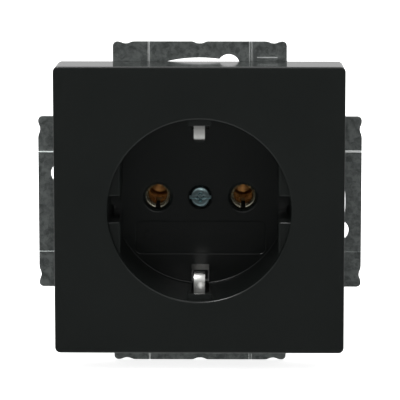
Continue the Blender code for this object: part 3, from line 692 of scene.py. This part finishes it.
# ------------------------------------------------------------------ earthing
CLIP_LINE = [(-9.5, 19.4), (-9.4, 18.4), (-9.2, 17.2), (-8.8, 15.9), (-8.1, 15.0), (-7.2, 14.55), (-5.6, 14.95), (-2.0, 16.05), (2.0, 17.0), (5.5, 17.65),
             (8.5, 17.95), (CLIP_ROOT_Y, CLIP_ROOT_R)]


def clip(sign, name, node, body):
    line = curve_through(CLIP_LINE, 7)
    outline = [(y, sign * r) for y, r in strip(line, CLIP_T)]
    piece = slab(outline, -CLIP_HALF, CLIP_HALF)
    soften(piece, 0.12, 3, 50.0)
    finish_piece(piece, name, "nickel_clip", body, node, angle=40.0)


def strap():
    piece = prism(rounded(3.0, 0.8, 6, 17.0), 7.9, 8.7)
    join(piece, prism(rounded(5.2, 1.5, 6, 8.0), 7.9, 8.7))
    soften(piece, 0.12, 2)
    join(piece, rod(0, 0, 2.6, 8.0, 11.2, 48))
    join(piece, box(-3.4, 3.4, 8.1, 23.0, BAR_Z0, BAR_Z1 - 0.1))
    cut(piece, stack([(1.95, 7.0), (1.95, 7.95), (1.6, 8.3), (1.6, 12)], steps=40))
    finish_piece(piece, "earthing_strap", "strap_metal", "root", "earth_strap")


def leaf(sign, side, name, node):
    x = sign * PIN_PITCH / 2
    profile = [(3.26, LEAF_FRONT + 0.5), (3.2, LEAF_FRONT + 0.15), (3.0, LEAF_FRONT + 0.02), (2.75, LEAF_FRONT), (2.56, LEAF_FRONT + 0.07), (2.46, LEAF_FRONT + 0.2), (2.41, LEAF_FRONT + 0.4),
               (2.38, LEAF_FRONT + 0.66), (2.31, LEAF_FRONT + 0.76), (2.22, LEAF_FRONT + 0.82), (2.14, LEAF_FRONT + 0.92), (2.09, LEAF_FRONT + 1.08), (2.07, LEAF_FRONT + 1.3), (2.1, LEAF_FRONT + 1.75),
               (2.2, LEAF_FRONT + 2.6), (LEAF_R_IN, LEAF_FRONT + 3.4), (LEAF_R_IN, LEAF_REAR), (LEAF_R_OUT, LEAF_REAR), (LEAF_R_OUT, LEAF_FRONT + 1.8), (3.2, LEAF_FRONT + 0.9)]
    slit = 10.0
    start = -90 + slit if side > 0 else 90 + slit
    piece = swept(profile, x, 0.0, start, 180 - 2 * slit, 40)
    soften(piece, 0.09, 3, 62.0)
    finish_piece(piece, name, "contact_brass", node, node, angle=35.0, look="sleeve_brass")


def contact(sign, name, node):
    x = sign * PIN_PITCH / 2
    piece = stack([(3.3, 19.5), (3.4, 19.6), (3.4, 25.0), (3.2, 25.3)], x=x, steps=48)
    cut(piece, stack([(2.7, 19.0), (2.6, 19.7), (2.6, 24.4), (2.2, 24.8)], x=x, steps=48))
    lo, hi = sorted((sign * 6.2, sign * 7.0))
    join(piece, box(lo, hi, 19.9, 23.0, -1.6, BAR_Z1))
    lo, hi = sorted((sign * 6.2, sign * 17.3))
    join(piece, box(lo, hi, 12.0, 23.0, BAR_Z0, BAR_Z1))
    soften(piece, 0.08, 2, 40.0)
    finish_piece(piece, name, "contact_brass", "root", node)


# ------------------------------------------------------------------ base
def peg(x0, x1, r=0.8):
    return slab([(PEG_Y + r * math.cos(math.tau * i / 32), PEG_Z + r * math.sin(math.tau * i / 32)) for i in range(32)], x0, x1)


def base():
    piece = prism(rounded(BASE_HALF, BASE_CORNER, 10), BASE_FRONT, BASE_REAR, bevel=0.4)
    wide, post = BASE_HALF - BASE_WALL, 14.8
    front = BASE_FRONT + 1.6
    room = box(-wide, wide, front, BASE_REAR + 1, -post, post)
    join(room, box(-post, post, front, BASE_REAR + 1, -wide, wide))
    cut(piece, room)
    join(piece, *[rod(s * POST, t * POST, 2.5, GAP, BASE_FRONT + 2, 40) for s in (-1, 1) for t in (-1, 1)])
    cut(piece, *[rod(s * POST, t * POST, 1.5, 0, 7.6, 28) for s in (-1, 1) for t in (-1, 1)])
    cut(piece, *[rod(s * POST, s * POST, 1.5, 21.4, BASE_REAR + 1, 28) for s in (-1, 1)])
    for s in (-1, 1):
        x0, x1 = sorted((s * 4.6, s * 5.4))
        join(piece, box(x0, x1, front - 0.5, BASE_REAR - 0.6, -wide - 0.5, wide + 0.5))
        z0, z1 = sorted((s * 16.2, s * 20.0))
        join(piece, box(-3.2, 3.2, front - 0.5, 14.4, z0, z1))
        z0, z1 = sorted((s * 17.3, s * 19.4))
        cut(piece, box(-1.65, 1.65, BASE_FRONT - 1, 13.2, z0, z1))
        x0, x1 = sorted((s * 7.6, s * (wide + 0.5)))
        join(piece, peg(x0, x1))
        cut(piece, rod(s * PIN_PITCH / 2, 0, 4.0, BASE_FRONT - 1, front + 1, 48))
    join(piece, peg(-5.0, 5.0))
    cut(piece, rod(0, 0, 3.0, BASE_FRONT - 1, front + 1, 40))
    cut(piece, box(-3.9, 3.9, BASE_FRONT - 1, front + 1, BAR_Z0 - 0.4, BAR_Z1 + 0.4))
    for s in (-1, 1):
        x0, x1 = sorted((s * (BASE_HALF - 0.5), s * (CLAW_X + 0.5)))
        join(piece, box(x0, x1, 13.2, 24.0, 5.2, 6.4), box(x0, x1, 13.2, 24.0, -6.4, -5.2))
    # shallow ribs moulded down the upper and lower sides
    for s in (-1, 1):
        for x in (-13.0, -8.6, 8.6, 13.0):
            lo, hi = sorted((s * (BASE_HALF - 0.4), s * (BASE_HALF + 0.35)))
            join(piece, box(x - 0.5, x + 0.5, BASE_FRONT + 3.0, BASE_REAR - 2.0, lo, hi))
    finish_piece(piece, "base", "base_plastic", "root", "base_body")


def rear_cover():
    y0 = BASE_REAR + GAP
    cover = prism(rounded(BASE_HALF, BASE_CORNER, 10), COVER_REAR, y0, bevel=0.45, segments=4)
    for x in (-TERM_X - 2.3, -TERM_X + 2.3, -2.3, 2.3, TERM_X - 2.3, TERM_X + 2.3):
        cut(cover, stack([(1.75, y0 - 1), (1.75, COVER_REAR - 0.75), (2.0, COVER_REAR - 0.35), (2.25, COVER_REAR - 0.05), (2.4, COVER_REAR + 0.6)], x=x, z=TERM_Z, steps=40))
    for x in (-TERM_X, 0.0, TERM_X):
        half = 2.6 if x else 2.4
        cut(cover, box(x - half, x + half, y0 - 1, COVER_REAR + 1, 5.6, 8.6))
    cut(cover, *[rod(s * POST, s * POST, 1.5, y0 - 1, COVER_REAR + 1, 28) for s in (-1, 1)])
    join(cover, cut(prism(rounded(13.0, 1.5, 6, 5.5, -9.0), COVER_REAR + 0.6, COVER_REAR - 0.3, bevel=0.18),
                    prism(rounded(12.0, 0.8, 6, 4.5, -9.0), COVER_REAR - 1, COVER_REAR + 1)))
    # a strip-length gauge: a plain raised bar between two fine lines
    join(cover, box(-5.5, 5.5, COVER_REAR - 0.3, COVER_REAR + 0.25, 1.0, 1.7))
    join(cover, box(-5.9, -5.5, COVER_REAR - 0.3, COVER_REAR + 0.25, 0.3, 2.4), box(5.5, 5.9, COVER_REAR - 0.3, COVER_REAR + 0.25, 0.3, 2.4))
    finish_piece(cover, "base_cover", "base_plastic", "root", "rear_cover")


def rivet(name, x, z, crown, inward, end):
    base_y = crown + inward * 0.65
    pts = [(0.35, crown), (0.9, crown + inward * 0.03), (1.45, crown + inward * 0.14), (1.85, crown + inward * 0.28), (2.1, crown + inward * 0.44),
           (2.2, base_y - inward * 0.08), (2.16, base_y), (1.2, base_y + inward * 0.01), (1.2, end)]
    piece = stack(pts if inward > 0 else pts[::-1], x=x, z=z, steps=36)
    finish_piece(piece, name.replace("rivet", "head"), "rivet_metal", "root", name, angle=40.0)


# ------------------------------------------------------------------ terminals
def spring(x, half, name, node):
    line = [Vector((PEG_Y + 1.35 * math.cos(math.radians(a)), PEG_Z + 1.35 * math.sin(math.radians(a)))) for a in range(-110, 151, 8)]
    end = line[-1]
    tip = Vector((15.6, 12.2))
    line += [end.lerp(tip, f) for f in (0.25, 0.6, 0.92)] + [tip]
    piece = slab(strip(line, 0.4), x - half, x + half)
    cut(piece, box(x - 0.25, x + 0.25, 13.0, 17.9, 7.5, 14.0))
    soften(piece, 0.06, 2, 50.0)
    finish_piece(piece, name, "spring_steel", node, node, angle=40.0)


def lever(x, half, name, node):
    piece = box(x - half, x + half, 23.2, 31.6, 5.9, 8.3)
    join(piece, box(x - half, x + half, 18.8, 24.0, 7.8, 9.3))
    join(piece, box(x - half - 0.7, x + half + 0.7, 26.7, 27.9, 5.0, 9.0))
    soften(piece, 0.18, 3)
    cut(piece, *[box(x - half - 1, x + half + 1, 31.25, 32.0, z, z + 0.35) for z in (6.35, 6.95, 7.55)])
    finish_piece(piece, name, "lever_plastic", node, node)


def claw(sign, name, node):
    inner, outer, t = 21.0, 28.8, 1.2
    y0 = CLAW_Y - t / 2
    outline = [(inner, y0), (outer - 0.6, y0), (outer - 0.25, y0 + 0.1), (outer - 0.1, y0 + 0.25), (outer, y0 + 0.6), (outer, 25.2), (outer + 0.7, 26.2), (outer + 0.7, 28.0),
               (outer - 0.5, 28.0), (outer - 0.5, 26.6), (outer - t, 25.6), (outer - t, y0 + t), (inner, y0 + t)]
    piece = plan([(sign * x, y) for x, y in outline], -4.5, 4.5)
    lo, hi = sorted((sign * 22.8, sign * 27.55))
    cut(piece, box(lo, hi, y0 - 1, y0 + t + 0.2, -1.9, 1.9))
    lo, hi = sorted((sign * 26.5, sign * 31.0))
    for z in (-4.5, -1.5, 1.5, 4.5):
        cut(piece, slab([(26.4, z), (28.6, z - 1.5), (28.6, z + 1.5)], lo, hi))
    soften(piece, 0.1, 2)
    finish_piece(piece, name, "galvanised_steel", node, node)


cover_plate()
screw("centre_screw", "cover_screw", "cover_screw", 0, 0, FLOOR - 0.45, 2.45, 1.35, 1.45, FLOOR + 8.9)
mounting_ring()
base()
rear_cover()
strap()
clip(1, "clip_upper", "earth_clip_top", "earth_clip_top")
clip(-1, "clip_lower", "earth_clip_bottom", "earth_clip_bottom")
for sign, side in ((-1, "line"), (1, "neutral")):
    contact(sign, side + "_busbar", side + "_contact")
    leaf(sign, -1, side + "_sleeve_left", side + "_leaf_left")
    leaf(sign, 1, side + "_sleeve_right", side + "_leaf_right")
    spring(sign * 12.4, 4.4, side + "_clamp", side + "_spring")
    lever(sign * TERM_X, 2.3, side + "_button", side + "_release")
spring(0.0, 3.8, "earth_clamp", "earth_spring")
lever(0.0, 2.1, "earth_button", "earth_release")
for sign, side in ((-1, "left"), (1, "right")):
    claw(sign, "spreader_" + side, "claw_" + side)
    screw("spreader_screw_" + side, "claw_screw_" + side, "claw_screw_" + side, sign * CLAW_SCREW_X, 0, -3.0, 2.3, 1.7, 1.45, 24.0, 20.0 * sign)
for t, up in ((1, "upper"), (-1, "lower")):
    for s, lr in ((-1, "left"), (1, "right")):
        rivet(f"ring_rivet_{up}_{lr}", s * POST, t * POST, -1.95, 1, 7.2)
rivet("rear_rivet_upper", POST, POST, COVER_REAR + 0.95, -1, 22.0)
rivet("rear_rivet_lower", -POST, -POST, COVER_REAR + 0.95, -1, 22.0)

# ------------------------------------------------------------------ stage
floor_mesh = bpy.data.meshes.new("floor")
w, z = 6.0, -0.0356
floor_mesh.from_pydata([(-w, -w, z), (w, -w, z), (w, w, z), (-w, w, z)], [], [(0, 1, 2, 3)])
floor = bpy.data.objects.new("floor", floor_mesh)
bpy.context.scene.collection.objects.link(floor)
floor_mat = bpy.data.materials.new("pale_floor")
floor_mat.use_nodes = True
fs = floor_mat.node_tree.nodes["Principled BSDF"]
fs.inputs["Base Color"].default_value = (0.86, 0.86, 0.86, 1)
fs.inputs["Roughness"].default_value = 0.9
fs.inputs["Specular IOR Level"].default_value = 0.0
fs.inputs["Emission Color"].default_value = (1, 1, 1, 1)
fs.inputs["Emission Strength"].default_value = 0.85
floor_mesh.materials.append(floor_mat)
floor.visible_glossy = False


def area(name, at, aim, size, power, colour=(1, 1, 1), size_y=None):
    data = bpy.data.lights.new(name, "AREA")
    data.shape = "RECTANGLE"
    data.size = size
    data.size_y = size_y or size
    data.energy = power
    data.color = colour
    obj = bpy.data.objects.new(name, data)
    obj.location = at
    obj.rotation_euler = (Vector(aim) - Vector(at)).to_track_quat("-Z", "Y").to_euler()
    bpy.context.scene.collection.objects.link(obj)
    return obj


area("key", (-0.25, -0.36, 0.80), (0, 0, 0), 0.30, 4.0)
area("top", (0.10, 0.20, 0.85), (0, 0, 0), 0.6, 3.2)
area("front", (0.05, -1.05, 0.27), (0, 0, 0), 0.16, 0.20)

world = bpy.context.scene.world or bpy.data.worlds.new("studio")
bpy.context.scene.world = world
world.use_nodes = True
wt = world.node_tree
wt.nodes.clear()
out = wt.nodes.new("ShaderNodeOutputWorld")
bg = wt.nodes.new("ShaderNodeBackground")
coords = wt.nodes.new("ShaderNodeTexCoord")
axes = wt.nodes.new("ShaderNodeSeparateXYZ")
wt.links.new(coords.outputs["Generated"], axes.inputs["Vector"])
# in front: dim near the horizon, a pale table below and a soft panel overhead
front = wt.nodes.new("ShaderNodeValToRGB")
stops = [(0.0, 0.80), (0.14, 0.66), (0.25, 0.27), (0.36, 0.11), (0.46, 0.075), (0.56, 0.07), (0.66, 0.24), (0.77, 0.68), (0.86, 0.95), (1.0, 0.8)]
el = front.color_ramp.elements
while len(el) < len(stops):
    el.new(0.5)
for e, (pos, val) in zip(el, stops):
    e.position = pos
    e.color = (val, val * 1.01, val * 1.01, 1)
height = wt.nodes.new("ShaderNodeMapRange")
height.inputs["From Min"].default_value = -1.0
height.inputs["From Max"].default_value = 1.0
wt.links.new(axes.outputs["Z"], height.inputs["Value"])
wt.links.new(height.outputs["Result"], front.inputs["Fac"])
# behind: a bright plain backdrop
behind = wt.nodes.new("ShaderNodeMapRange")
behind.interpolation_type = "SMOOTHSTEP"
behind.inputs["From Min"].default_value = -0.50
behind.inputs["From Max"].default_value = 0.45
wt.links.new(axes.outputs["Y"], behind.inputs["Value"])
sky = wt.nodes.new("ShaderNodeMix")
sky.data_type = "RGBA"
sky.inputs[7].default_value = (0.74, 0.74, 0.74, 1)
wt.links.new(behind.outputs["Result"], sky.inputs["Factor"])
wt.links.new(front.outputs["Color"], sky.inputs[6])
path = wt.nodes.new("ShaderNodeLightPath")
seen = wt.nodes.new("ShaderNodeMix")
seen.data_type = "RGBA"
seen.inputs[7].default_value = (0.93, 0.935, 0.935, 1)
wt.links.new(path.outputs["Is Camera Ray"], seen.inputs["Factor"])
wt.links.new(sky.outputs[2], seen.inputs[6])
wt.links.new(seen.outputs[2], bg.inputs["Color"])
bg.inputs["Strength"].default_value = 1.0
wt.links.new(bg.outputs["Background"], out.inputs["Surface"])

# ------------------------------------------------------------------ camera
F_PX, DIST, ELEV, AZIM, ROLL = 3074.4, 0.67746, math.radians(10.1256), math.radians(0.8344), math.radians(-0.0413)
target = Vector((0.0000013, 0.0, 0.0002594))
back = Vector((math.sin(AZIM) * math.cos(ELEV), -math.cos(AZIM) * math.cos(ELEV), math.sin(ELEV)))
right0 = (-back).cross(Vector((0, 0, 1))).normalized()
up0 = right0.cross(-back)
right1 = math.cos(ROLL) * right0 + math.sin(ROLL) * up0
up1 = -math.sin(ROLL) * right0 + math.cos(ROLL) * up0
cam_data = bpy.data.cameras.new("camera")
cam_data.sensor_width = 36.0
cam_data.lens = F_PX * 36.0 / 400.0
cam_data.clip_start = 0.01
cam_data.clip_end = 50.0
cam = bpy.data.objects.new("camera", cam_data)
bpy.context.scene.collection.objects.link(cam)
place = target + DIST * back
cam.matrix_world = Matrix(((right1.x, up1.x, back.x, place.x), (right1.y, up1.y, back.y, place.y), (right1.z, up1.z, back.z, place.z), (0, 0, 0, 1)))
bpy.context.scene.camera = cam
bpy.context.scene.view_settings.view_transform = "Standard"
